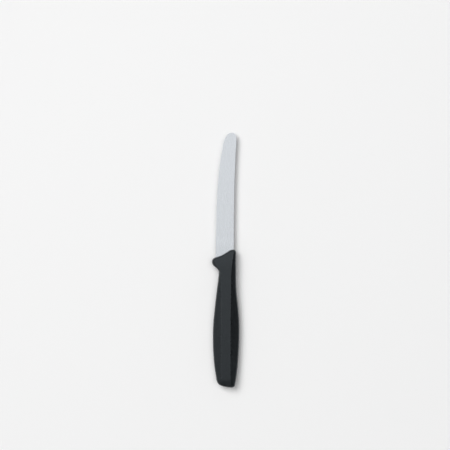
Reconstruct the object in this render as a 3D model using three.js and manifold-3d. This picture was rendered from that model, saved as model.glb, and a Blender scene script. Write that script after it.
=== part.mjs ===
// A table knife: a finely toothed, round-tipped steel blade, with a plastic handle moulded
// over its tang. X runs from the butt to the tip, Y towards the cutting edge and Z up out
// of the knife's side, all in millimetres. While the pieces are drawn, X starts at the nose
// of the finger guard, Y in the middle of the handle's flat and Z in the middle of the blade.
import * as THREE from "three";
import { mergeVertices } from "three/addons/utils/BufferGeometryUtils.js";
import Module from "manifold-3d";

// Handle, seen from its side
const gripLength = 109.8;      // guard to butt
const bellyBack = 64;          // guard to the widest place of the edge side
const bellyEdge = 11.35;
const backBelly = 59;          // guard to the widest place of the back
const bellySpine = 11.8;
const waistBack = 9.5;         // guard to the finger notch behind it
const waistEdge = 6.15;
const neckBack = 16;           // guard to the end of the straight stretch of the back
const neckSpine = 9.05;
const guardReach = 12.15;
const guardFront = 3.1;        // corner of the guard, ahead of its nose
const guardRound = 3.8;
const frontReach = 10.65;      // guard to the foremost point of the handle
const frontLean = 0.25;        // slope of the front beside the guard
const frontCorner = 2.9;
const buttEdge = 7.45;         // corners of the butt, either side of the middle
const buttSpine = 7.85;
const buttSlant = 2.4;         // how far the edge-side corner lies ahead of the other
const buttCrown = 0.6;         // towards the spine, where the butt starts to run square
const buttEdgeRound = 4;
const buttSpineRound = 2.2;
const buttSplay = 0.18;        // slope of both sides where they reach the butt

// How far each curve of the handle keeps to its end's direction
const bellyPull = 18;
const neckPull = 14;
const waistPull = 4;
const guardPull = 5;
const frontPull = 3.8;
const noseFrontPull = 8;
const buttPull = 12;

// Handle, across its section
const handleThickness = 11.6;
const flatHalf = 4.2;          // half the width of the flat, where it runs straight
const neckFlat = 4.6;          // the flat's spine-side ridge at the neck
const frontRidge = 2.15;       // bevel left beside the ridge at the front
const ridgePull = 9;
const ridgeSlope = 0.13;
const bevelSlope = 0.47;       // rise of the bevels between the flat and the sides
const guardBevel = 2.6;
const frontBevel = 1.2;
const buttBevel = 1.5;
const buttFlatRound = 2;
const buttFacet = 6.3;         // length of the shallow facet at the butt
const buttDrop = 0.5;
const sideRound = 2.4;         // how far the rounding of the sides reaches in
const roundShare = 0.8;        // most of a narrow bevel that its rounding may take
const taperBack = 4;           // guard to where the handle starts to thin towards its front
const frontThickness = 9.2;

// Blade
const bladeLength = 112.8;     // guard to tip
const bladeSpine = 7;
const heelEdge = 8.7;
const heelBare = 3.3;          // plain heel ahead of the handle
const grindRun = 8;            // from the plain heel to the first tooth
const toothedEdge = 8.65;
const tipRun = 9.3;            // length of the rounding at the tip
const tipEdge = 2.05;          // edge and spine where the rounding starts
const tipSpine = 9.3;
const tipMiddle = 5.5;         // foremost point, towards the spine
const tipEdgeSlope = 0.24;
const tipSpineSlope = 0.08;
const heelPull = 30;
const tipPull = 21;
const tipEdgePull = 6.5;
const tipSpinePull = 6.5;
const tipFrontPull = 3;
const grindPull = 4;

// Blade, across its section
const sheetThickness = 1.3;
const tipThickness = 1;
const groundThickness = 0.8;   // along the toothed edge, before its teeth are cut
const brokenEdge = 0.15;       // chamfer on the edges that don't cut
const chamferShare = 0.4;      // most of a narrow section that a chamfer may take

// Teeth
const toothPitch = 2;
const toothDepth = 0.3;
const toothTrim = 0.05;        // ground off the edge even at the points
const toothGrind = THREE.MathUtils.degToRad(18);  // wheel's angle to the blade
const plainTip = 3;            // edge left plain before the tip's rounding

// Tang
const tangLength = 72;         // guard to the tang's end
const tangEdge = 2.6;
const tangSpine = 5.8;
const tangShoulder = 5;        // guard to where the tang starts to widen
const shoulderPull = 3;
const keyHoles = 3;
const keyHoleRadius = 2.3;
const keyPitch = 22;
const keyInset = 9;            // tang's end to the first hole
const mouldGap = 0.3;          // all round the tang

// Fineness of the facets
const handleSteps = [9, 11, 4, 5, 12, 5, 10, 10, 9, 6, 5, 4];
const roundSteps = 5;
const taperSteps = 8;
const bladeSteps = [3, 9, 2, 6, 26, 14];
const tipGap = 0.015;          // share of the tip's curves left for its last facet
const wheelSides = 120;
const keySides = 24;

const toothedSegment = 4;
const tipSegment = 5;
const heelEnd = frontReach + heelBare;
const toothedStart = heelEnd + grindRun;
const tipTurn = bladeLength - tipRun;

const wasm = await Module();
wasm.setup();

function solidOf(geometry) {
  const bare = geometry.clone();
  bare.deleteAttribute("normal");
  bare.deleteAttribute("uv");
  const welded = mergeVertices(bare);
  const mesh = new wasm.Mesh({
    numProp: 3,
    vertProperties: new Float32Array(welded.attributes.position.array),
    triVerts: new Uint32Array(welded.index.array),
  });
  return new wasm.Manifold(mesh);
}

function geometryOf(solid) {
  const mesh = solid.getMesh();
  const geometry = new THREE.BufferGeometry();
  geometry.setAttribute("position", new THREE.BufferAttribute(mesh.vertProperties, 3));
  geometry.setIndex(new THREE.BufferAttribute(mesh.triVerts, 1));
  return geometry;
}

// A closed skin over rings that have the same number of points, with an end cap on the
// first and last. Each ring runs anticlockwise in the plane that flatten gives.
function loft(rings, flatten) {
  const count = rings[0].length;
  const triangles = [];
  for (let ring = 0; ring + 1 < rings.length; ring += 1) {
    for (let point = 0; point < count; point += 1) {
      const next = (point + 1) % count;
      const here = ring * count;
      const there = here + count;
      triangles.push(here + point, here + next, there + next);
      triangles.push(here + point, there + next, there + point);
    }
  }
  const lastRing = (rings.length - 1) * count;
  for (const [a, b, c] of THREE.ShapeUtils.triangulateShape(rings[0].map(flatten), [])) {
    triangles.push(a, c, b);
  }
  for (const [a, b, c] of THREE.ShapeUtils.triangulateShape(rings.at(-1).map(flatten), [])) {
    triangles.push(lastRing + a, lastRing + b, lastRing + c);
  }
  const geometry = new THREE.BufferGeometry().setFromPoints(rings.flat());
  geometry.setIndex(triangles);
  return geometry;
}

// A run that leaves where the path is, and arrives at x, y, both along X.
function glide(path, x, y, leave, arrive) {
  const from = path.currentPoint;
  const way = Math.sign(x - from.x);
  path.bezierCurveTo(from.x + way * leave, from.y, x - way * arrive, y, x, y);
}

// The handle's outline where the two halves of its mould meet, anticlockwise from the butt.
function handleOutline() {
  const butt = -gripLength;
  const spineTurn = -buttSpine - buttSplay * buttSpineRound;
  const front = new THREE.Vector2(guardFront + frontLean * guardRound, guardReach - guardRound);
  const edgeCorner = new THREE.Vector2(butt + buttSlant, buttEdge);
  const edgeTurn = new THREE.Vector2(buttEdgeRound, buttSplay * buttEdgeRound).add(edgeCorner);
  const crown = new THREE.Vector2(butt, -buttCrown);
  const edgeRounded = along(edgeCorner, crown, buttEdgeRound);

  const path = new THREE.Path();
  path.moveTo(butt + buttSpineRound, spineTurn);
  path.bezierCurveTo(
    butt + buttSpineRound + buttPull, spineTurn - buttSplay * buttPull,
    -backBelly - bellyPull, -bellySpine,
    -backBelly, -bellySpine,
  );
  glide(path, -neckBack, -neckSpine, bellyPull, neckPull);
  path.lineTo(frontReach - frontCorner, -neckSpine);
  path.quadraticCurveTo(frontReach, -neckSpine, frontReach, frontCorner - neckSpine);
  path.bezierCurveTo(
    frontReach, frontCorner - neckSpine + frontPull,
    front.x + frontLean * noseFrontPull, front.y - noseFrontPull,
    front.x, front.y,
  );
  path.quadraticCurveTo(guardFront, guardReach, 0, guardReach);
  glide(path, -waistBack, waistEdge, guardPull, guardPull);
  glide(path, -bellyBack, bellyEdge, waistPull, bellyPull);
  path.bezierCurveTo(
    -bellyBack - bellyPull, bellyEdge,
    edgeTurn.x + buttPull, edgeTurn.y + buttSplay * buttPull,
    edgeTurn.x, edgeTurn.y,
  );
  path.quadraticCurveTo(edgeCorner.x, edgeCorner.y, edgeRounded.x, edgeRounded.y);
  path.quadraticCurveTo(crown.x, crown.y, butt, buttSpineRound - buttSpine);
  path.quadraticCurveTo(butt, -buttSpine, butt + buttSpineRound, spineTurn);
  return path;
}

// The outline of the flat on either side, with a segment for each of the handle's outline.
function flatOutline() {
  const back = buttBevel - gripLength;
  const nose = new THREE.Vector2(guardFront - frontBevel, guardReach - guardBevel);
  const front = new THREE.Vector2(nose.x + frontLean * guardRound, nose.y - guardRound / 2);
  const ridge = frontRidge - neckSpine;
  const ridgeFront = frontReach - frontBevel;
  const edgeCorner = new THREE.Vector2(back + buttSlant, flatHalf);
  const crown = new THREE.Vector2(back, -buttCrown);
  const edgeRounded = along(edgeCorner, crown, buttFlatRound);

  const path = new THREE.Path();
  path.moveTo(back + buttFlatRound, -flatHalf);
  path.lineTo(-backBelly, -flatHalf);
  glide(path, -neckBack, -neckFlat, bellyPull, neckPull);
  path.bezierCurveTo(
    ridgePull - neckBack, -neckFlat,
    frontReach - frontCorner - ridgePull, ridge + ridgeSlope * ridgePull,
    frontReach - frontCorner, ridge,
  );
  path.quadraticCurveTo(ridgeFront, ridge, ridgeFront, frontCorner - neckSpine);
  path.bezierCurveTo(
    ridgeFront, frontCorner - neckSpine + frontPull,
    front.x + frontLean * noseFrontPull, front.y - noseFrontPull,
    front.x, front.y,
  );
  path.quadraticCurveTo(nose.x, nose.y, 0, nose.y);
  glide(path, -waistBack - guardBevel, flatHalf, guardPull, guardPull);
  glide(path, -bellyBack, flatHalf, waistPull, bellyPull);
  path.lineTo(edgeCorner.x + buttFlatRound, flatHalf);
  path.quadraticCurveTo(edgeCorner.x, edgeCorner.y, edgeRounded.x, edgeRounded.y);
  path.quadraticCurveTo(crown.x, crown.y, back, buttFlatRound - flatHalf);
  path.quadraticCurveTo(back, -flatHalf, back + buttFlatRound, -flatHalf);
  return path;
}

function along(from, to, distance) {
  return to.clone().sub(from).setLength(distance).add(from);
}

function loopPoints(path) {
  return path.curves.flatMap((curve, index) => curve.getPoints(handleSteps[index]).slice(0, -1));
}

// One ring of the handle between its outline and the flat, at a share of the side's
// rounding. The side rises from the parting line, turns into the bevel and ends at the flat.
function sideRing(outline, flat, share) {
  return outline.map((edge, index) => {
    const inset = flat[index].clone().sub(edge);
    const width = inset.length();
    const round = Math.min(sideRound, roundShare * width);
    const sharpSide = handleThickness / 2 - bevelSlope * width;
    const roundedSide = sharpSide + bevelSlope * round;
    const reach = round * share * share;
    const height = 2 * share * (1 - share) * sharpSide + share * share * roundedSide;
    const place = inset.multiplyScalar(reach / width).add(edge);
    return new THREE.Vector3(place.x, place.y, height);
  });
}

function mirrored(ring) {
  return ring.map((point) => new THREE.Vector3(point.x, point.y, -point.z));
}

function handleBody() {
  const outline = loopPoints(handleOutline());
  const flat = loopPoints(flatOutline());
  const upper = [];
  for (let step = 1; step <= roundSteps; step += 1) {
    upper.push(sideRing(outline, flat, step / roundSteps));
  }
  upper.push(flat.map((point) => new THREE.Vector3(point.x, point.y, handleThickness / 2)));
  const lower = upper.map(mirrored).reverse();
  const rings = [...lower, sideRing(outline, flat, 0), ...upper];
  return loft(rings, (point) => new THREE.Vector2(point.x, point.y));
}

// What is taken off the upper flat to thin the handle towards its front, seen along Y.
function frontTaper() {
  const top = handleThickness / 2;
  const profile = new THREE.Shape();
  profile.moveTo(-taperBack, top);
  profile.quadraticCurveTo((frontReach - taperBack) / 2, top, frontReach, frontThickness / 2);
  profile.lineTo(frontReach, handleThickness);
  profile.lineTo(-taperBack, handleThickness);
  return profile;
}

// The same for the shallow facet at the butt.
function buttTaper() {
  const top = handleThickness / 2;
  const profile = new THREE.Shape();
  profile.moveTo(-gripLength, top - buttDrop);
  profile.lineTo(buttFacet - gripLength, top);
  profile.lineTo(buttFacet - gripLength, handleThickness);
  profile.lineTo(-gripLength, handleThickness);
  return profile;
}

// Cutters for both of the handle's flats from such a profile, wider than the handle.
function flatCutters(profile) {
  const width = 2 * (guardReach + bellySpine);
  const upper = new THREE.ExtrudeGeometry(profile, {
    depth: width, curveSegments: taperSteps, bevelEnabled: false,
  });
  upper.translate(0, 0, -width / 2).rotateX(Math.PI / 2);
  return [upper, upper.clone().rotateX(Math.PI)];
}

// The blade's two rails, from the tang's end to the tip, with matching segments: tang,
// shoulder, heel, run-out of the grind, toothed edge and tip.
function edgeRail() {
  const path = new THREE.Path();
  path.moveTo(-tangLength, tangEdge);
  path.lineTo(-tangShoulder, tangEdge);
  glide(path, 0, heelEdge, shoulderPull, shoulderPull);
  path.lineTo(heelEnd, heelEdge);
  glide(path, toothedStart, toothedEdge, grindPull, grindPull);
  path.bezierCurveTo(
    toothedStart + heelPull, toothedEdge,
    tipTurn - tipPull, tipEdge + tipEdgeSlope * tipPull,
    tipTurn, tipEdge,
  );
  path.bezierCurveTo(
    tipTurn + tipEdgePull, tipEdge - tipEdgeSlope * tipEdgePull,
    bladeLength, tipFrontPull - tipMiddle,
    bladeLength, -tipMiddle,
  );
  return path;
}

function spineRail() {
  const path = new THREE.Path();
  path.moveTo(-tangLength, -tangSpine);
  path.lineTo(-tangShoulder, -tangSpine);
  glide(path, 0, -bladeSpine, shoulderPull, shoulderPull);
  path.lineTo(heelEnd, -bladeSpine);
  path.lineTo(toothedStart, -bladeSpine);
  path.bezierCurveTo(
    toothedStart + heelPull, -bladeSpine,
    tipTurn - tipPull, tipSpineSlope * tipPull - tipSpine,
    tipTurn, -tipSpine,
  );
  path.bezierCurveTo(
    tipTurn + tipSpinePull, -tipSpine - tipSpineSlope * tipSpinePull,
    bladeLength, -tipMiddle - tipFrontPull,
    bladeLength, -tipMiddle,
  );
  return path;
}

// Matching points on the two rails, each moved outwards by a gap.
function bladeStations(segments, gap) {
  const edge = edgeRail().curves;
  const spine = spineRail().curves;
  const stations = [];
  for (let segment = 0; segment < segments; segment += 1) {
    const steps = bladeSteps[segment];
    for (let step = segment === 0 ? 0 : 1; step <= steps; step += 1) {
      const last = segment === tipSegment && step === steps;
      const share = last ? 1 - tipGap : step / steps;
      stations.push({
        segment,
        share,
        edge: offsetPoint(edge[segment], share, gap),
        spine: offsetPoint(spine[segment], share, -gap),
      });
    }
  }
  return stations;
}

function offsetPoint(curve, share, gap) {
  const tangent = curve.getTangent(share);
  return curve.getPoint(share).add(new THREE.Vector2(-tangent.y, tangent.x).multiplyScalar(gap));
}

// One section of the blade, ground thinner towards the edge. Its edges are chamfered,
// apart from the toothed one.
function bladeRing({ segment, share, edge, spine }) {
  const across = spine.clone().sub(edge);
  const chamfer = Math.min(brokenEdge, across.length() * chamferShare);
  across.setLength(chamfer);
  const tip = segment === tipSegment ? share : 0;
  const ground = THREE.MathUtils.smoothstep(edge.x, heelEnd, toothedStart) * (1 - tip);
  const spineHalf = THREE.MathUtils.lerp(sheetThickness, tipThickness, tip) / 2;
  const edgeHalf = THREE.MathUtils.lerp(spineHalf, groundThickness / 2, ground);
  const face = edge.clone().add(across);
  const back = spine.clone().sub(across);
  const upper = [
    new THREE.Vector3(edge.x, edge.y, edgeHalf - brokenEdge * (1 - ground)),
    new THREE.Vector3(face.x, face.y, edgeHalf),
    new THREE.Vector3(back.x, back.y, spineHalf),
    new THREE.Vector3(spine.x, spine.y, spineHalf - brokenEdge),
  ];
  return [...upper, ...mirrored(upper).reverse()];
}

function acrossPlane(point) {
  return new THREE.Vector2(point.y, point.z);
}

function roundBar(radius, length, sides) {
  return new THREE.CylinderGeometry(radius, radius, length, sides);
}

// Bars through the tang's holes.
function keyBars(radius, length) {
  const bars = [];
  for (let key = 0; key < keyHoles; key += 1) {
    const bar = roundBar(radius, length, keySides).rotateX(Math.PI / 2);
    bars.push(bar.translate(keyInset - tangLength + key * keyPitch, (tangEdge - tangSpine) / 2, 0));
  }
  return bars;
}

// The wheels that grind the teeth from the lower face through to the upper one, so that
// neighbouring cuts meet in a point. Each is long enough to run out of both faces.
function toothWheels() {
  const edge = edgeRail().curves[toothedSegment];
  const length = edge.getLength();
  const teeth = Math.floor((length - plainTip) / toothPitch);
  const rise = toothDepth * Math.sin(toothGrind);
  const radius = ((toothPitch / 2) ** 2 + rise ** 2) / (2 * rise);
  const reach = 3 * groundThickness / Math.sin(toothGrind);
  const wheels = [];
  for (let tooth = 0; tooth < teeth; tooth += 1) {
    const share = (tooth + 0.5) * toothPitch / length;
    const point = edge.getPointAt(share);
    const tangent = edge.getTangentAt(share);
    const onward = new THREE.Vector3(tangent.x, tangent.y, 0);
    const inward = new THREE.Vector3(tangent.y, -tangent.x, 0);
    const axis = inward.clone().multiplyScalar(Math.cos(toothGrind));
    axis.z = -Math.sin(toothGrind);
    const away = inward.clone().multiplyScalar(-Math.sin(toothGrind));
    away.z = -Math.cos(toothGrind);
    const centre = new THREE.Vector3(point.x, point.y, groundThickness / 2);
    centre.addScaledVector(inward, toothTrim + toothDepth).addScaledVector(away, radius);
    const frame = new THREE.Matrix4().makeBasis(onward, axis, onward.clone().cross(axis));
    wheels.push(roundBar(radius, reach, wheelSides).applyMatrix4(frame.setPosition(centre)));
  }
  return wheels;
}

function cutAll(solid, cutters) {
  return cutters.reduce((rest, cutter) => rest.subtract(solidOf(cutter)), solid);
}

function makeBlade() {
  const rings = bladeStations(bladeSteps.length, 0).map(bladeRing);
  const ground = cutAll(solidOf(loft(rings, acrossPlane)), toothWheels());
  return geometryOf(cutAll(ground, keyBars(keyHoleRadius, 2 * sheetThickness)));
}

// The room for the tang and the heel, with the keys left standing in it.
function tangRoom() {
  const half = sheetThickness / 2 + mouldGap;
  const rings = bladeStations(toothedSegment - 1, mouldGap).map(({ edge, spine }) => [
    new THREE.Vector3(edge.x, edge.y, half),
    new THREE.Vector3(spine.x, spine.y, half),
    new THREE.Vector3(spine.x, spine.y, -half),
    new THREE.Vector3(edge.x, edge.y, -half),
  ]);
  for (const point of rings[0]) {
    point.x -= mouldGap;
  }
  const room = solidOf(loft(rings, acrossPlane));
  return cutAll(room, keyBars(keyHoleRadius - mouldGap, handleThickness / 2));
}

function makeHandle() {
  const cutters = [...flatCutters(frontTaper()), ...flatCutters(buttTaper())];
  return geometryOf(cutAll(solidOf(handleBody()), cutters).subtract(tangRoom()));
}

function makeMesh(name, geometry, finish) {
  const mesh = new THREE.Mesh(geometry, new THREE.MeshStandardMaterial(finish));
  mesh.name = name;
  return mesh;
}

const knife = new THREE.Group();
knife.add(makeMesh("blade", makeBlade(), { color: 0xd2d6db, roughness: 0.35, metalness: 1 }));
knife.add(makeMesh("handle", makeHandle(), { color: 0x2b2e31, roughness: 0.55, metalness: 0 }));

// The knife lies on the handle's flat, with the origin under the middle of its outline.
const box = new THREE.Box3().setFromObject(knife);
const middle = box.getCenter(new THREE.Vector3());
knife.position.set(-middle.x, -middle.y, -box.min.z);

export default knife;
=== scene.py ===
# A table knife lying on a pale floor: a toothed, satin-ground steel blade whose tang is
# moulded into a dark grey plastic handle.
# All sizes are in metres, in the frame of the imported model: X from the butt to the tip, Y
# towards the cutting edge and Z up. The pieces are drawn with X from the nose of the finger
# guard, Y from the middle of the handle's flat and Z from the middle of the blade, and then
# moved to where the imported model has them.
import math

import bpy
import numpy as np
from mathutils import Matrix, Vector


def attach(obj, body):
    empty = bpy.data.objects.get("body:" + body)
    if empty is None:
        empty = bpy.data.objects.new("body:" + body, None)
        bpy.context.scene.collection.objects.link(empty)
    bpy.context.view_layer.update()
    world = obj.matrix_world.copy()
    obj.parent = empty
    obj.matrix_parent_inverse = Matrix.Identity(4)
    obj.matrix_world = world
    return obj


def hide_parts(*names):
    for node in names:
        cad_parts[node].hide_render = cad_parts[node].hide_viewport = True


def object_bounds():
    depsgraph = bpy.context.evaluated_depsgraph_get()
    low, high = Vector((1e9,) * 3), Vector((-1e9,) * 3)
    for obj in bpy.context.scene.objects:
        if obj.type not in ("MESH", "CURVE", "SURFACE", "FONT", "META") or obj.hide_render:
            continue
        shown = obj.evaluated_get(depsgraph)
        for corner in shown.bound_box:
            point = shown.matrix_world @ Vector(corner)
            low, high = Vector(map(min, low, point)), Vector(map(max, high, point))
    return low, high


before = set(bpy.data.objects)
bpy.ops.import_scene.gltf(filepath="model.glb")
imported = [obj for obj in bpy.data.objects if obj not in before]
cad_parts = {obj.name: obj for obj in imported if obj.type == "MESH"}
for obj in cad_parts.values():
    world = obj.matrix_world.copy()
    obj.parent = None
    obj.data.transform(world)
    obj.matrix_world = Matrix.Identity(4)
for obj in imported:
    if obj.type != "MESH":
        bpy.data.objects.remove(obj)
cad_low, cad_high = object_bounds()

# Handle, seen from its side
GRIP_LENGTH = 0.1098        # guard to butt
BELLY_BACK = 0.064          # guard to the widest place of the edge side
BELLY_EDGE = 0.01135
BACK_BELLY = 0.059          # guard to the widest place of the back
BELLY_SPINE = 0.0118
WAIST_BACK = 0.0095         # guard to the finger notch behind it
WAIST_EDGE = 0.00615
NECK_BACK = 0.016           # guard to the end of the straight stretch of the back
NECK_SPINE = 0.00905
GUARD_REACH = 0.01215
GUARD_FRONT = 0.0031        # corner of the guard, ahead of its nose
GUARD_ROUND = 0.0038
FRONT_REACH = 0.01065       # guard to the foremost point of the handle
FRONT_LEAN = 0.25           # slope of the front beside the guard
FRONT_CORNER = 0.0029
BUTT_EDGE = 0.00745         # corners of the butt, either side of the middle
BUTT_SPINE = 0.00785
BUTT_SLANT = 0.0024         # how far the edge-side corner lies ahead of the other
BUTT_CROWN = 0.0006         # towards the spine, where the butt starts to run square
BUTT_EDGE_ROUND = 0.004
BUTT_SPINE_ROUND = 0.0022
BUTT_SPLAY = 0.18           # slope of both sides where they reach the butt

# How far each curve of the handle keeps to its end's direction
BELLY_PULL = 0.018
NECK_PULL = 0.014
WAIST_PULL = 0.004
GUARD_PULL = 0.005
FRONT_PULL = 0.0038
NOSE_FRONT_PULL = 0.008
BUTT_PULL = 0.012

# Handle, across its section
HANDLE_HALF = 0.0058        # half its thickness
FLAT_HALF = 0.0042          # half the width of the flat, where it runs straight
NECK_FLAT = 0.0046          # the flat's spine-side ridge at the neck
FRONT_RIDGE = 0.00215       # bevel left beside the ridge at the front
RIDGE_PULL = 0.009
RIDGE_SLOPE = 0.13
BEVEL_SLOPE = 0.47          # rise of the bevels between the flat and the sides
GUARD_BEVEL = 0.0026
FRONT_BEVEL = 0.0012
BUTT_BEVEL = 0.0015
BUTT_FLAT_ROUND = 0.002
BUTT_FACET = 0.0063         # length of the shallow facet at the butt
BUTT_DROP = 0.0005
SIDE_ROUND = 0.0012         # how far the rounding of the sides reaches in
ROUND_SHARE = 0.8           # most of a narrow bevel that its rounding may take
TAPER_BACK = 0.004          # guard to where the handle starts to thin towards its front
FRONT_HALF = 0.0046         # half its thickness at the front
RIDGE_SOFT = 0.00016        # how much the ridges are rounded off
BUTT_SOFT = 0.0005          # and at the butt
RIDGE_REACH = RIDGE_SOFT / BEVEL_SLOPE  # how far either side of the ridges that reaches
RIDGE_SHARE = 0.7           # most of a narrow bevel's straight part that it may take
FACET_SOFT = 0.0008         # length over which the butt's facet starts
WEAR_REACH = 0.0008         # how far from a ridge the plastic is rubbed
SEAM_RISE = 0.00004         # the fine line where the mould's halves met
SEAM_HALF = 0.00016

# Blade
BLADE_LENGTH = 0.1128       # guard to tip
BLADE_SPINE = 0.007
HEEL_EDGE = 0.0087
HEEL_BARE = 0.0033          # plain heel ahead of the handle
GRIND_RUN = 0.008           # from the plain heel to the first tooth
TOOTHED_EDGE = 0.00865
TIP_RUN = 0.0093            # length of the rounding at the tip
TIP_EDGE = 0.00205          # edge and spine where the rounding starts
TIP_SPINE = 0.0093
TIP_MIDDLE = 0.0055         # foremost point, towards the spine
TIP_EDGE_SLOPE = 0.24
TIP_SPINE_SLOPE = 0.08
HEEL_PULL = 0.03
TIP_PULL = 0.021
TIP_EDGE_PULL = 0.0065
TIP_SPINE_PULL = 0.0065
TIP_FRONT_PULL = 0.003
GRIND_PULL = 0.004
SHEET_HALF = 0.00065        # half the thickness of the steel
TIP_HALF = 0.0005
GROUND_HALF = 0.0004        # along the toothed edge, before its teeth are cut
BROKEN_EDGE = 0.00018       # rounding of the edges that don't cut
CHAMFER_SHARE = 0.4         # most of a narrow section that such a rounding may take
FACE_ROW = 0.0003           # rows of points this near the faces' borders keep them flat
FACE_SHARE = 0.05           # or this share of a narrow section

# Teeth
TOOTH_PITCH = 0.002
TOOTH_DEPTH = 0.0003
TOOTH_TRIM = 0.00005        # ground off the edge even at the points
TOOTH_SLOPE = math.tan(math.radians(18))
TOOTH_LAND = 0.00003        # blunt width of the edge itself
PLAIN_TIP = 0.003           # edge left plain before the tip's rounding

# Tang
TANG_LENGTH = 0.072         # guard to the tang's end
TANG_EDGE = 0.0026
TANG_SPINE = 0.0058
TANG_SHOULDER = 0.005       # guard to where the tang starts to widen
SHOULDER_PULL = 0.003
KEY_HOLES = 3
KEY_RADIUS = 0.0023
KEY_PITCH = 0.022
KEY_INSET = 0.009           # tang's end to the first hole
MOULD_GAP = 0.00006         # between the steel and the plastic round it

# Fineness of the meshes
FINE_POINTS = 2000          # points along a curve that its length is measured by
HANDLE_STEPS = (30, 36, 14, 14, 36, 16, 34, 36, 30, 16, 14, 12)  # to each stretch of the outline
SIDE_RINGS = 20             # rings of points on the rounding of the sides
BEVEL_SHARES = (0.5, 1)     # rings on the straight part of the bevels
RIDGE_SHARES = (0.75, 0.5, 0.25)  # rings on either side of the ridges
FLAT_RINGS = 6
CORE_SLIMMING = 5           # how many times slimmer than the flat its innermost ring is
BLADE_STEPS = (6, 12, 4, 20, 14, 36)  # to each stretch of the blade, and to each tooth
CORNER_STEPS = 7
TIP_GAP = 0.004             # share of the tip's curves left for its last facet
KEY_SIDES = 48
SHARP_ANGLE = math.radians(15)

# Stretches of the blade, counted from 0: tang, shoulder and heel, and then these
GRIND, TOOTHED, TIP = 3, 4, 5

# Places that follow from the sizes above
HEEL_END = FRONT_REACH + HEEL_BARE
TOOTHED_START = HEEL_END + GRIND_RUN
TIP_TURN = BLADE_LENGTH - TIP_RUN
ORIGIN = Vector((cad_high.x - BLADE_LENGTH, cad_high.y - GUARD_REACH, cad_low.z + HANDLE_HALF))

# Steel, with the sizes of its marks along and across the blade
STEEL_SHADES = ((0.604, 0.633, 0.665), (0.622, 0.651, 0.685))
STEEL_ROUGHNESS = (0.22, 0.32)
STEEL_GRAIN = (0.009, 0.00009, 0.00009)
STEEL_STREAKS = (0.03, 0.0007, 0.0007)
STEEL_CLOUDS = 0.012
STEEL_RELIEF = 0.00002
STEEL_BUMP = 0.25           # how strongly the relief shows

# Plastic
PLASTIC_SHADES = ((0.0036, 0.0046, 0.0054), (0.0082, 0.0093, 0.0102))
PLASTIC_ROUGHNESS = (0.27, 0.38)
PLASTIC_GRAIN = 0.0005
PLASTIC_MOTTLE = 0.0022
MOTTLE_SHARE = 0.8          # how far the mottling alone goes to the lighter shade
PLASTIC_RELIEF = 0.00006
PLASTIC_BUMP = 0.6
PLASTIC_GLOSS = 0.6
PLASTIC_TINT = (0.83, 0.927, 1, 1)
WEAR_PATCHES = 0.008
WEAR_POLISH = 0.12          # what rubbing takes off the roughness

NOISE_SPAN = (0.25, 0.75)   # where nearly all of a noise's values lie

# View
PIXEL = 0.000875            # size of a pixel of the 450 by 450 image, at the knife
IMAGE_PIXELS = 450
VIEW = Vector((0.0321, 0.00074, 0))  # what the middle of the image looks at
LENS = 100
SENSOR = 36

# Floor and studio
PALE = 0.885                # brightness of the floor and of the background behind it
FLOOR_SIZE = 12
FLOOR_DROP = 0.00005
FLOOR_ROUGHNESS = 0.9
FLOOR_GLOSS = 0.1
FLOOR_FADE = (0.15, 0.6)    # distances between which the floor loses its shadows
AMBIENT = 0.2               # light that the studio gives from all round
CEILING = 0.12              # brightness of its ceiling
WALL_TOP = (0.3, 0.8)       # heights on a unit sphere between which the walls fade upwards
SCREEN = 0.18               # what the dark screen leaves of the brightness behind it
SCREEN_LIFT = math.radians(45)
SCREEN_EDGE = (math.radians(32), math.radians(14))  # from its middle, where it fades in
SCREEN_WAY = (0, -math.cos(SCREEN_LIFT), math.sin(SCREEN_LIFT))

# Lamps, where a level of one is as bright as a white card in full light
OVERHEAD_PLACE = (0.85, 1.28, 3.8)
OVERHEAD_SIZE = (3.04, 5.32)
OVERHEAD_LEVEL = 1.04
KEY_LAMP_PLACE = (2.3, 2.3, 5.0)
KEY_LAMP_SIZE = (3.4, 3.4)
KEY_LAMP_LEVEL = 6.0
FILL_LAMP_PLACE = (0, -1.5, 4.5)
FILL_LAMP_SIZE = (2.0, 2.0)
FILL_LAMP_LEVEL = 2.4


# Curves

def along(controls, shares):
    """Points at these shares of the Bezier curve with these control points."""
    shares = np.asarray(shares, float)[:, None, None]
    points = np.broadcast_to(controls, (len(shares), *np.shape(controls)))
    while points.shape[1] > 1:
        points = points[:, :-1] * (1 - shares) + points[:, 1:] * shares
    return points[:, 0]


def run_along(points):
    """How far along the line through them each of the points lies."""
    steps = np.linalg.norm(np.diff(points, axis=0), axis=1)
    return np.concatenate([[0], np.cumsum(steps)])


def curve_length(controls):
    return run_along(along(controls, np.linspace(0, 1, FINE_POINTS)))[-1]


def even_shares(controls, count):
    """Shares of a curve that lie evenly along its length."""
    fine = np.linspace(0, 1, FINE_POINTS)
    length = run_along(along(controls, fine))
    return np.interp(np.arange(1, count + 1) / count * length[-1], length, fine)


def towards(start, end, distance):
    way = np.subtract(end, start)
    return np.add(start, way * distance / np.linalg.norm(way))


def smoothstep(value, low, high):
    share = np.clip((value - low) / (high - low), 0, 1)
    return share * share * (3 - 2 * share)


def soft_min(a, b, soft):
    """The lesser of two heights, rounded off where they meet."""
    near = np.maximum(soft - np.abs(a - b), 0) / soft
    return np.minimum(a, b) - near * near * soft / 4


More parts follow.
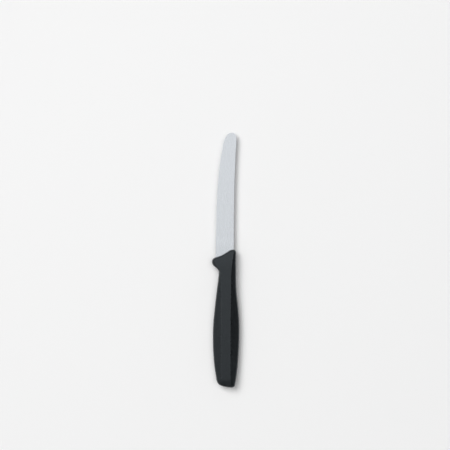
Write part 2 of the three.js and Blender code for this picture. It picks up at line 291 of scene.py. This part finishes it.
class Pen:
    """Draws a line stretch by stretch, and keeps each stretch's control points."""

    def __init__(self, x, y):
        self.place = (x, y)
        self.stretches = []

    def draw(self, *controls):
        self.stretches.append(np.array([self.place, *controls], float))
        self.place = tuple(controls[-1])

    def glide(self, x, y, leave, arrive):
        """A run that leaves and arrives along X."""
        from_x, from_y = self.place
        way = math.copysign(1, x - from_x)
        self.draw((from_x + way * leave, from_y), (x - way * arrive, y), (x, y))

    def loop(self, steps):
        """Points round a closed line, with this many to each stretch."""
        parts = [along(line, np.arange(n) / n) for line, n in zip(self.stretches, steps)]
        return np.concatenate(parts)


# Handle

def handle_outline():
    """The handle's outline where the two halves of its mould met, anticlockwise."""
    butt = -GRIP_LENGTH
    spine_turn = -BUTT_SPINE - BUTT_SPLAY * BUTT_SPINE_ROUND
    front = (GUARD_FRONT + FRONT_LEAN * GUARD_ROUND, GUARD_REACH - GUARD_ROUND)
    edge_corner = (butt + BUTT_SLANT, BUTT_EDGE)
    edge_turn = (edge_corner[0] + BUTT_EDGE_ROUND, BUTT_EDGE + BUTT_SPLAY * BUTT_EDGE_ROUND)
    crown = (butt, -BUTT_CROWN)
    pen = Pen(butt + BUTT_SPINE_ROUND, spine_turn)
    pen.draw(
        (butt + BUTT_SPINE_ROUND + BUTT_PULL, spine_turn - BUTT_SPLAY * BUTT_PULL),
        (-BACK_BELLY - BELLY_PULL, -BELLY_SPINE),
        (-BACK_BELLY, -BELLY_SPINE),
    )
    pen.glide(-NECK_BACK, -NECK_SPINE, BELLY_PULL, NECK_PULL)
    pen.draw((FRONT_REACH - FRONT_CORNER, -NECK_SPINE))
    pen.draw((FRONT_REACH, -NECK_SPINE), (FRONT_REACH, FRONT_CORNER - NECK_SPINE))
    pen.draw(
        (FRONT_REACH, FRONT_CORNER - NECK_SPINE + FRONT_PULL),
        (front[0] + FRONT_LEAN * NOSE_FRONT_PULL, front[1] - NOSE_FRONT_PULL),
        front,
    )
    pen.draw((GUARD_FRONT, GUARD_REACH), (0, GUARD_REACH))
    pen.glide(-WAIST_BACK, WAIST_EDGE, GUARD_PULL, GUARD_PULL)
    pen.glide(-BELLY_BACK, BELLY_EDGE, WAIST_PULL, BELLY_PULL)
    pen.draw(
        (-BELLY_BACK - BELLY_PULL, BELLY_EDGE),
        (edge_turn[0] + BUTT_PULL, edge_turn[1] + BUTT_SPLAY * BUTT_PULL),
        edge_turn,
    )
    pen.draw(edge_corner, towards(edge_corner, crown, BUTT_EDGE_ROUND))
    pen.draw(crown, (butt, BUTT_SPINE_ROUND - BUTT_SPINE))
    pen.draw((butt, -BUTT_SPINE), (butt + BUTT_SPINE_ROUND, spine_turn))
    return pen


def flat_outline():
    """The outline of the flat on either side, with a stretch for each of the handle's."""
    back = BUTT_BEVEL - GRIP_LENGTH
    nose = (GUARD_FRONT - FRONT_BEVEL, GUARD_REACH - GUARD_BEVEL)
    front = (nose[0] + FRONT_LEAN * GUARD_ROUND, nose[1] - GUARD_ROUND / 2)
    ridge = FRONT_RIDGE - NECK_SPINE
    ridge_end = FRONT_REACH - FRONT_CORNER
    ridge_front = FRONT_REACH - FRONT_BEVEL
    edge_corner = (back + BUTT_SLANT, FLAT_HALF)
    crown = (back, -BUTT_CROWN)
    pen = Pen(back + BUTT_FLAT_ROUND, -FLAT_HALF)
    pen.draw((-BACK_BELLY, -FLAT_HALF))
    pen.glide(-NECK_BACK, -NECK_FLAT, BELLY_PULL, NECK_PULL)
    pen.draw(
        (RIDGE_PULL - NECK_BACK, -NECK_FLAT),
        (ridge_end - RIDGE_PULL, ridge + RIDGE_SLOPE * RIDGE_PULL),
        (ridge_end, ridge),
    )
    pen.draw((ridge_front, ridge), (ridge_front, FRONT_CORNER - NECK_SPINE))
    pen.draw(
        (ridge_front, FRONT_CORNER - NECK_SPINE + FRONT_PULL),
        (front[0] + FRONT_LEAN * NOSE_FRONT_PULL, front[1] - NOSE_FRONT_PULL),
        front,
    )
    pen.draw(nose, (0, nose[1]))
    pen.glide(-WAIST_BACK - GUARD_BEVEL, FLAT_HALF, GUARD_PULL, GUARD_PULL)
    pen.glide(-BELLY_BACK, FLAT_HALF, WAIST_PULL, BELLY_PULL)
    pen.draw((edge_corner[0] + BUTT_FLAT_ROUND, FLAT_HALF))
    pen.draw(edge_corner, towards(edge_corner, crown, BUTT_FLAT_ROUND))
    pen.draw(crown, (back, BUTT_FLAT_ROUND - FLAT_HALF))
    pen.draw((back, -FLAT_HALF), (back + BUTT_FLAT_ROUND, -FLAT_HALF))
    return pen


def flat_height(x):
    """The height of the flat, which drops to the butt."""
    behind = BUTT_FACET - GRIP_LENGTH - x
    fall = -soft_min(-behind, 0, FACET_SOFT)
    return HANDLE_HALF - BUTT_DROP / BUTT_FACET * fall


def thinning(x):
    """What is left of the handle's thickness as it thins towards its front."""
    share = np.clip((x + TAPER_BACK) / (FRONT_REACH + TAPER_BACK), 0, 1)
    return 1 - (1 - FRONT_HALF / HANDLE_HALF) * share * share


def raised(points, height):
    """The points at this height above the middle, lowered to the flat and thinned."""
    x = points[:, 0]
    butt = smoothstep(-x, GRIP_LENGTH - BUTT_FACET, GRIP_LENGTH)
    soft = RIDGE_SOFT + (BUTT_SOFT - RIDGE_SOFT) * butt
    level = soft_min(height, flat_height(x), soft) * thinning(x)
    return np.column_stack([points, level])


def upper_rings():
    """The upper half of the handle as rings of points, from the seam to a core of the flat,
    and how near each point is to a ridge."""
    outline = handle_outline().loop(HANDLE_STEPS)
    flat = flat_outline().loop(HANDLE_STEPS)
    width = np.linalg.norm(flat - outline, axis=1)
    inward = (flat - outline) / width[:, None]
    rounded = np.minimum(SIDE_ROUND, ROUND_SHARE * width)
    sharp_side = HANDLE_HALF - BEVEL_SLOPE * width
    before = np.minimum(RIDGE_REACH, RIDGE_SHARE * (width - rounded))

    seam_share = SEAM_HALF / (2 * HANDLE_HALF)
    side_shares = [seam_share, *np.arange(1, SIDE_RINGS + 1) / SIDE_RINGS]
    reaches = [rounded * share ** 2 for share in side_shares]
    reaches += [rounded + share * (width - before - rounded) for share in BEVEL_SHARES]
    reaches += [width - share * before for share in RIDGE_SHARES]
    reaches += [width + share * RIDGE_REACH for share in (0, *reversed(RIDGE_SHARES), 1)]
    rings, nearness = [], []
    for reach in reaches:
        share = np.sqrt(np.minimum(reach / rounded, 1))
        height = sharp_side * share * (2 - share) + BEVEL_SLOPE * reach
        rings.append(raised(outline + inward * reach[:, None], height))
        nearness.append(np.maximum(1 - np.abs(reach - width) / WEAR_REACH, 0) ** 2)
    rim = rings[-1][:, :2]
    for share in np.arange(1, FLAT_RINGS + 1) / FLAT_RINGS:
        inside = rim + share * (flat_core(rim) - rim)
        beyond = RIDGE_REACH + np.linalg.norm(inside - rim, axis=1)
        rings.append(raised(inside, HANDLE_HALF + BEVEL_SLOPE * beyond))
        nearness.append(np.zeros(len(rim)))
    return rings, nearness


def flat_core(rim):
    """A slim outline inside the flat, where it is level from end to end."""
    facet_end = BUTT_FACET + FACET_SOFT - GRIP_LENGTH
    free = facet_end + BUTT_FACET
    x = np.interp(rim[:, 0],
                  (BUTT_BEVEL - GRIP_LENGTH, free, -NECK_BACK, FRONT_REACH),
                  (facet_end, free, -NECK_BACK, -TAPER_BACK))
    return np.column_stack([x, rim[:, 1] / CORE_SLIMMING])


def make_handle():
    upper, nearness = upper_rings()
    outline = handle_outline().loop(HANDLE_STEPS)
    ahead = np.roll(outline, -1, axis=0) - np.roll(outline, 1, axis=0)
    outward = np.column_stack([ahead[:, 1], -ahead[:, 0]])
    outward /= np.linalg.norm(outward, axis=1)[:, None]
    seam = np.column_stack([outline + SEAM_RISE * outward, np.zeros(len(outline))])
    lower = [ring * (1, 1, -1) for ring in reversed(upper)]
    piece = loft("handle_moulding", [*lower, seam, *upper])
    wear = piece.data.attributes.new("ridge", "FLOAT", "POINT")
    worn = np.concatenate([*reversed(nearness), np.zeros(len(outline)), *nearness])
    wear.data.foreach_set("value", worn.astype(np.float32))
    cut(piece, tang_room())
    return piece


# Blade

def edge_rail():
    pen = Pen(-TANG_LENGTH, TANG_EDGE)
    pen.draw((-TANG_SHOULDER, TANG_EDGE))
    pen.glide(0, HEEL_EDGE, SHOULDER_PULL, SHOULDER_PULL)
    pen.draw((HEEL_END, HEEL_EDGE))
    pen.glide(TOOTHED_START, TOOTHED_EDGE, GRIND_PULL, GRIND_PULL)
    pen.draw(
        (TOOTHED_START + HEEL_PULL, TOOTHED_EDGE),
        (TIP_TURN - TIP_PULL, TIP_EDGE + TIP_EDGE_SLOPE * TIP_PULL),
        (TIP_TURN, TIP_EDGE),
    )
    pen.draw(
        (TIP_TURN + TIP_EDGE_PULL, TIP_EDGE - TIP_EDGE_SLOPE * TIP_EDGE_PULL),
        (BLADE_LENGTH, TIP_FRONT_PULL - TIP_MIDDLE),
        (BLADE_LENGTH, -TIP_MIDDLE),
    )
    return pen.stretches


def spine_rail():
    pen = Pen(-TANG_LENGTH, -TANG_SPINE)
    pen.draw((-TANG_SHOULDER, -TANG_SPINE))
    pen.glide(0, -BLADE_SPINE, SHOULDER_PULL, SHOULDER_PULL)
    pen.draw((HEEL_END, -BLADE_SPINE))
    pen.draw((TOOTHED_START, -BLADE_SPINE))
    pen.draw(
        (TOOTHED_START + HEEL_PULL, -BLADE_SPINE),
        (TIP_TURN - TIP_PULL, TIP_SPINE_SLOPE * TIP_PULL - TIP_SPINE),
        (TIP_TURN, -TIP_SPINE),
    )
    pen.draw(
        (TIP_TURN + TIP_SPINE_PULL, -TIP_SPINE - TIP_SPINE_SLOPE * TIP_SPINE_PULL),
        (BLADE_LENGTH, -TIP_MIDDLE - TIP_FRONT_PULL),
        (BLADE_LENGTH, -TIP_MIDDLE),
    )
    return pen.stretches


def blade_stations(stretches):
    """Matching points on the edge and the spine over this many stretches from the tang on,
    with how far each lies along the toothed edge and into the tip."""
    edge, spine, tip = [], [], []
    for index, (edge_line, spine_line) in enumerate(zip(edge_rail()[:stretches], spine_rail())):
        steps = BLADE_STEPS[index]
        shares = np.arange(0 if index == 0 else 1, steps + 1) / steps
        if index == TOOTHED:
            shares = even_shares(edge_line, round(curve_length(edge_line) / TOOTH_PITCH * steps))
        if index == TIP:
            shares[-1] = 1 - TIP_GAP
        edge.append(along(edge_line, shares))
        spine.append(along(spine_line, shares))
        tip.append(shares if index == TIP else np.zeros(len(shares)))
    edge = np.concatenate(edge)
    run = run_along(edge)
    run -= np.interp(TOOTHED_START, edge[:, 0], run)
    return edge, np.concatenate(spine), run, np.concatenate(tip)


def tooth_reach(run):
    """How far in the grinding of the teeth reaches on the upper face. Beyond the first and
    the last tooth it runs out, and is less than nothing."""
    length = curve_length(edge_rail()[TOOTHED])
    teeth = math.floor((length - PLAIN_TIP) / TOOTH_PITCH)
    tooth = np.clip(np.floor(run / TOOTH_PITCH), 0, teeth - 1)
    offset = run / TOOTH_PITCH - tooth - 0.5
    return TOOTH_TRIM + TOOTH_DEPTH * (1 - 4 * offset ** 2)


def blade_sections():
    """The blade's sections: out along the upper face, round the spine and back along the
    lower face, from which the teeth are ground."""
    edge, spine, run, tip = blade_stations(TIP + 1)
    width = np.linalg.norm(spine - edge, axis=1)
    across = (spine - edge) / width[:, None]
    ground = smoothstep(edge[:, 0], HEEL_END, TOOTHED_START) * (1 - tip)
    spine_half = SHEET_HALF + (TIP_HALF - SHEET_HALF) * tip
    edge_half = spine_half + (GROUND_HALF - spine_half) * ground
    swell = (spine_half - edge_half) / width
    corner = np.minimum(BROKEN_EDGE, CHAMFER_SHARE * width)
    blunt = BROKEN_EDGE * (1 - ground)

    reach = tooth_reach(run)
    start = np.maximum(reach, 0)
    scallop_end = (GROUND_HALF + edge_half + reach * TOOTH_SLOPE) / (TOOTH_SLOPE - swell)
    scallop_end = np.maximum(scallop_end, start + corner)
    scallop_low = GROUND_HALF - (start - reach) * TOOTH_SLOPE - TOOTH_LAND
    edge_low = np.clip(scallop_low, blunt - edge_half, edge_half - blunt - TOOTH_LAND)
    row = np.minimum(FACE_ROW, FACE_SHARE * width)

    def face(distance):
        return distance, edge_half + swell * distance

    upper = [(start, edge_half - blunt), face(start + corner), face(start + corner + row)]
    upper.append(face(width - corner - row))
    for turn in np.linspace(0, math.pi / 2, CORNER_STEPS + 1):
        drop = BROKEN_EDGE * (1 - math.cos(turn)) + swell * corner * (1 - math.sin(turn))
        upper.append((width - corner * (1 - math.sin(turn)), spine_half - drop))
    lower = [face(scallop_end), face(scallop_end + row), *upper[3:]]
    lower = [(distance, -height) for distance, height in reversed(lower)]
    columns = [np.column_stack([edge + across * distance[:, None], height])
               for distance, height in [*upper, *lower, (start, edge_low)]]
    return np.stack(columns, axis=1)


def make_blade():
    piece = loft("blade_steel", list(blade_sections()))
    cut(piece, key_bars(KEY_RADIUS))
    return piece


def tang_room():
    """The room in the handle for the tang and the heel, with the keys left standing in it."""
    edge, spine, _, _ = blade_stations(GRIND)
    edge = edge + (0, MOULD_GAP)
    spine = spine - (0, MOULD_GAP)
    edge[0, 0] -= MOULD_GAP
    spine[0, 0] -= MOULD_GAP
    high = np.full(len(edge), SHEET_HALF + MOULD_GAP)
    corners = [(edge, high), (spine, high), (spine, -high), (edge, -high)]
    sections = np.stack([np.column_stack([line, height]) for line, height in corners], axis=1)
    room = loft("tang_room", list(sections))
    cut(room, key_bars(KEY_RADIUS - MOULD_GAP))
    return room


def key_bars(radius):
    """Round bars through the tang's holes, twice as long as the steel is thick."""
    turn = np.arange(KEY_SIDES) * 2 * math.pi / KEY_SIDES
    circle = radius * np.column_stack([np.cos(turn), np.sin(turn)])
    end = np.full(KEY_SIDES, 2 * SHEET_HALF)
    points, faces = [], []
    for key in range(KEY_HOLES):
        middle = (KEY_INSET - TANG_LENGTH + key * KEY_PITCH, (TANG_EDGE - TANG_SPINE) / 2)
        rings = [np.column_stack([circle + middle, height]) for height in (-end, end)]
        bar_points, bar_faces = loft_mesh(rings)
        faces += [[corner + len(points) for corner in face] for face in bar_faces]
        points += list(bar_points)
    return new_piece("key_bars", points, faces)


# Meshes

def loft_mesh(rings):
    """Points and faces of a closed skin over rings, with an end cap on the first and last."""
    count = len(rings[0])
    faces = []
    for ring in range(len(rings) - 1):
        for point in range(count):
            here = ring * count + point
            following = ring * count + (point + 1) % count
            faces.append([here, following, following + count, here + count])
    last = (len(rings) - 1) * count
    faces.append(list(range(count - 1, -1, -1)))
    faces.append(list(range(last, last + count)))
    return np.concatenate(rings), faces


def new_piece(name, points, faces):
    mesh = bpy.data.meshes.new(name)
    mesh.from_pydata([ORIGIN + Vector(point) for point in points], [], faces)
    piece = bpy.data.objects.new(name, mesh)
    bpy.context.scene.collection.objects.link(piece)
    return piece


def loft(name, rings):
    return new_piece(name, *loft_mesh(rings))


def cut(piece, cutter):
    """Takes the cutter's shape out of a piece."""
    modifier = piece.modifiers.new("cut", "BOOLEAN")
    modifier.operation = "DIFFERENCE"
    modifier.solver = "EXACT"
    modifier.object = cutter
    shaped = piece.evaluated_get(bpy.context.evaluated_depsgraph_get())
    piece.data = bpy.data.meshes.new_from_object(shaped)
    piece.modifiers.clear()
    bpy.data.objects.remove(cutter)


def finish_piece(piece, node, material):
    """Smooths a piece, gives it its material and lets it stand for its node."""
    piece.data.materials.clear()
    piece.data.materials.append(material)
    piece.data.shade_smooth()
    piece.data.set_sharp_from_angle(angle=SHARP_ANGLE)
    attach(piece, "root")
    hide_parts(node)


# Materials

def add(tree, kind, inputs=None, **settings):
    """Adds a node, sets it up and fills its inputs with values or with other nodes' outputs."""
    node = tree.nodes.new("ShaderNode" + kind)
    for name, value in settings.items():
        setattr(node, name, value)
    for name, value in (inputs or {}).items():
        if isinstance(value, bpy.types.NodeSocket):
            tree.links.new(value, node.inputs[name])
        else:
            node.inputs[name].default_value = value
    return node


def new_material(name):
    material = bpy.data.materials.new(name)
    material.use_nodes = True
    tree = material.node_tree
    return material, tree, tree.nodes["Principled BSDF"]


def noise(tree, size, detail):
    """Noise whose lumps are about as large as size, which is one number or one for each axis."""
    place = add(tree, "TexCoord").outputs["Object"]
    scale = 1 / np.broadcast_to(size, 3)
    spread = add(tree, "Mapping", {"Vector": place, "Scale": scale}).outputs[0]
    lumps = add(tree, "TexNoise", {"Vector": spread, "Scale": 1, "Detail": detail})
    return lumps.outputs["Fac"]


def mapped(tree, value, span, levels, way):
    """A change from one level to another over a span of a value."""
    inputs = {
        "Value": value,
        "From Min": span[0],
        "From Max": span[1],
        "To Min": levels[0],
        "To Max": levels[1],
    }
    return add(tree, "MapRange", inputs, interpolation_type=way).outputs["Result"]


def ranged(tree, value, levels):
    """Noise turned into values between two levels."""
    return mapped(tree, value, NOISE_SPAN, levels, "LINEAR")


def faded(tree, value, span, levels):
    """A smooth change from one level to another over a span of a value."""
    return mapped(tree, value, span, levels, "SMOOTHSTEP")


def shade_mix(tree, share, first, second):
    """A colour between two, by share."""
    node = add(tree, "Mix", {"Factor": share}, data_type="RGBA")
    node.inputs["A"].default_value = (*first, 1)
    node.inputs["B"].default_value = (*second, 1)
    return node.outputs["Result"]


def dress(tree, shader, colour, roughness, bump):
    """Gives a shader its colour, its roughness and the relief of a bump node."""
    tree.links.new(colour, shader.inputs["Base Color"])
    tree.links.new(roughness, shader.inputs["Roughness"])
    tree.links.new(bump.outputs[0], shader.inputs["Normal"])


def satin_steel():
    """Stainless steel with a fine satin ground along the blade."""
    material, tree, shader = new_material("satin_steel")
    grain = noise(tree, STEEL_GRAIN, detail=3)
    streaks = noise(tree, STEEL_STREAKS, detail=2)
    clouds = noise(tree, STEEL_CLOUDS, detail=2)
    both = add(tree, "Math", {0: streaks, 1: clouds}, operation="ADD").outputs[0]
    tone = add(tree, "Math", {0: both, 1: 0.5}, operation="MULTIPLY").outputs[0]
    colour = shade_mix(tree, ranged(tree, tone, (0, 1)), *STEEL_SHADES)
    roughness = ranged(tree, grain, STEEL_ROUGHNESS)
    relief = {"Height": grain, "Strength": STEEL_BUMP, "Distance": STEEL_RELIEF}
    dress(tree, shader, colour, roughness, add(tree, "Bump", relief))
    shader.inputs["Metallic"].default_value = 1
    return material


def moulded_plastic():
    """Dark grey polypropylene with a fine sparked grain, a little worn along the ridges."""
    material, tree, shader = new_material("moulded_plastic")
    grain = noise(tree, PLASTIC_GRAIN, detail=3)
    mottle = noise(tree, PLASTIC_MOTTLE, detail=3)
    patches = noise(tree, WEAR_PATCHES, detail=3)
    ridge = add(tree, "Attribute", attribute_name="ridge").outputs["Fac"]
    rubbed = add(tree, "Math", {0: ridge, 1: patches}, operation="MULTIPLY").outputs[0]
    lighter = {0: ranged(tree, mottle, (0, MOTTLE_SHARE)), 1: rubbed}
    shade = add(tree, "Math", lighter, operation="ADD", use_clamp=True).outputs[0]
    colour = shade_mix(tree, shade, *PLASTIC_SHADES)
    smoother = {0: rubbed, 1: -WEAR_POLISH, 2: ranged(tree, mottle, PLASTIC_ROUGHNESS)}
    roughness = add(tree, "Math", smoother, operation="MULTIPLY_ADD").outputs[0]
    relief = {"Height": grain, "Strength": PLASTIC_BUMP, "Distance": PLASTIC_RELIEF}
    dress(tree, shader, colour, roughness, add(tree, "Bump", relief))
    shader.inputs["Specular IOR Level"].default_value = PLASTIC_GLOSS
    shader.inputs["Specular Tint"].default_value = PLASTIC_TINT
    return material


# Stage

def seen_ray(tree):
    """One where a surface is seen, directly, mirrored or through another, and nothing where it
    only lights the others."""
    path = add(tree, "LightPath").outputs
    seen = path["Is Camera Ray"]
    for kind in ("Is Glossy Ray", "Is Transmission Ray"):
        seen = add(tree, "Math", {0: seen, 1: path[kind]}, operation="MAXIMUM").outputs[0]
    return seen


def make_floor():
    half = FLOOR_SIZE / 2
    level = cad_low.z - FLOOR_DROP
    ways = [(-1, -1), (1, -1), (1, 1), (-1, 1)]
    corners = [(x * half, y * half, level) for x, y in ways]
    mesh = bpy.data.meshes.new("floor")
    mesh.from_pydata(corners, [], [(0, 1, 2, 3)])
    floor = bpy.data.objects.new("floor", mesh)
    bpy.context.scene.collection.objects.link(floor)
    mesh.materials.append(pale_floor())


def pale_floor():
    """A pale matt floor that holds the shadow near the knife, and away from it shows the
    same plain brightness up to the horizon."""
    material, tree, shader = new_material("pale_floor")
    shader.inputs["Base Color"].default_value = (PALE, PALE, PALE, 1)
    shader.inputs["Roughness"].default_value = FLOOR_ROUGHNESS
    shader.inputs["Specular IOR Level"].default_value = FLOOR_GLOSS
    place = add(tree, "TexCoord").outputs["Object"]
    distance = add(tree, "VectorMath", {0: place}, operation="LENGTH").outputs["Value"]
    away = faded(tree, distance, FLOOR_FADE, (0, 1))
    share = add(tree, "Math", {0: away, 1: seen_ray(tree)}, operation="MULTIPLY").outputs[0]
    plain = add(tree, "Emission", {"Color": (PALE, PALE, PALE, 1), "Strength": 1})
    mix = add(tree, "MixShader", {0: share, 1: shader.outputs[0], 2: plain.outputs[0]})
    tree.links.new(mix.outputs[0], tree.nodes["Material Output"].inputs["Surface"])
    return material


def make_world():
    """A studio with pale walls, a dim ceiling and a dark screen on the spine's side. It lights
    the knife evenly from all round."""
    world = bpy.data.worlds.new("studio")
    world.use_nodes = True
    tree = world.node_tree
    way = add(tree, "TexCoord").outputs["Generated"]
    upward = add(tree, "SeparateXYZ", {0: way}).outputs["Z"]
    walls = faded(tree, upward, WALL_TOP, (PALE, CEILING))
    facing = add(tree, "VectorMath", {0: way, 1: SCREEN_WAY}, operation="DOT_PRODUCT")
    rim = [math.cos(angle) for angle in SCREEN_EDGE]
    screen = faded(tree, facing.outputs["Value"], rim, (1, SCREEN))
    shown = add(tree, "Math", {0: walls, 1: screen}, operation="MULTIPLY").outputs[0]
    levels = {"Factor": seen_ray(tree), "A": AMBIENT, "B": shown}
    level = add(tree, "Mix", levels, data_type="FLOAT")
    tree.links.new(level.outputs["Result"], tree.nodes["Background"].inputs["Color"])
    bpy.context.scene.world = world


def add_softbox(name, place, aim, size, brightness):
    """A large soft lamp that shines from its place towards its aim."""
    lamp = bpy.data.lights.new(name, "AREA")
    lamp.shape = "RECTANGLE"
    lamp.size, lamp.size_y = size
    lamp.energy = brightness * math.pi * size[0] * size[1]
    box = bpy.data.objects.new(name, lamp)
    box.location = place
    box.rotation_euler = (Vector(place) - Vector(aim)).to_track_quat("Z", "Y").to_euler()
    bpy.context.scene.collection.objects.link(box)
    return box


def make_lights():
    """A lamp that shines straight down and is mirrored in the knife, and two that aren't."""
    below = (*OVERHEAD_PLACE[:2], 0)
    add_softbox("overhead", OVERHEAD_PLACE, below, OVERHEAD_SIZE, OVERHEAD_LEVEL)
    middle = (0, 0, 0)
    key = add_softbox("key", KEY_LAMP_PLACE, middle, KEY_LAMP_SIZE, KEY_LAMP_LEVEL)
    fill = add_softbox("fill", FILL_LAMP_PLACE, middle, FILL_LAMP_SIZE, FILL_LAMP_LEVEL)
    for lamp in (key, fill):
        lamp.visible_glossy = False


def make_camera():
    """Looks straight down, with the tip upwards in the image."""
    camera = bpy.data.objects.new("camera", bpy.data.cameras.new("camera"))
    camera.data.lens = LENS
    camera.data.sensor_width = SENSOR
    distance = PIXEL * IMAGE_PIXELS * LENS / SENSOR
    camera.location = ORIGIN + VIEW + Vector((0, 0, distance))
    camera.rotation_euler = (0, 0, -math.pi / 2)
    bpy.context.scene.collection.objects.link(camera)
    bpy.context.scene.camera = camera


bpy.context.scene.view_settings.view_transform = "Standard"
make_camera()
make_floor()
make_world()
make_lights()
finish_piece(make_blade(), "blade", satin_steel())
finish_piece(make_handle(), "handle", moulded_plastic())
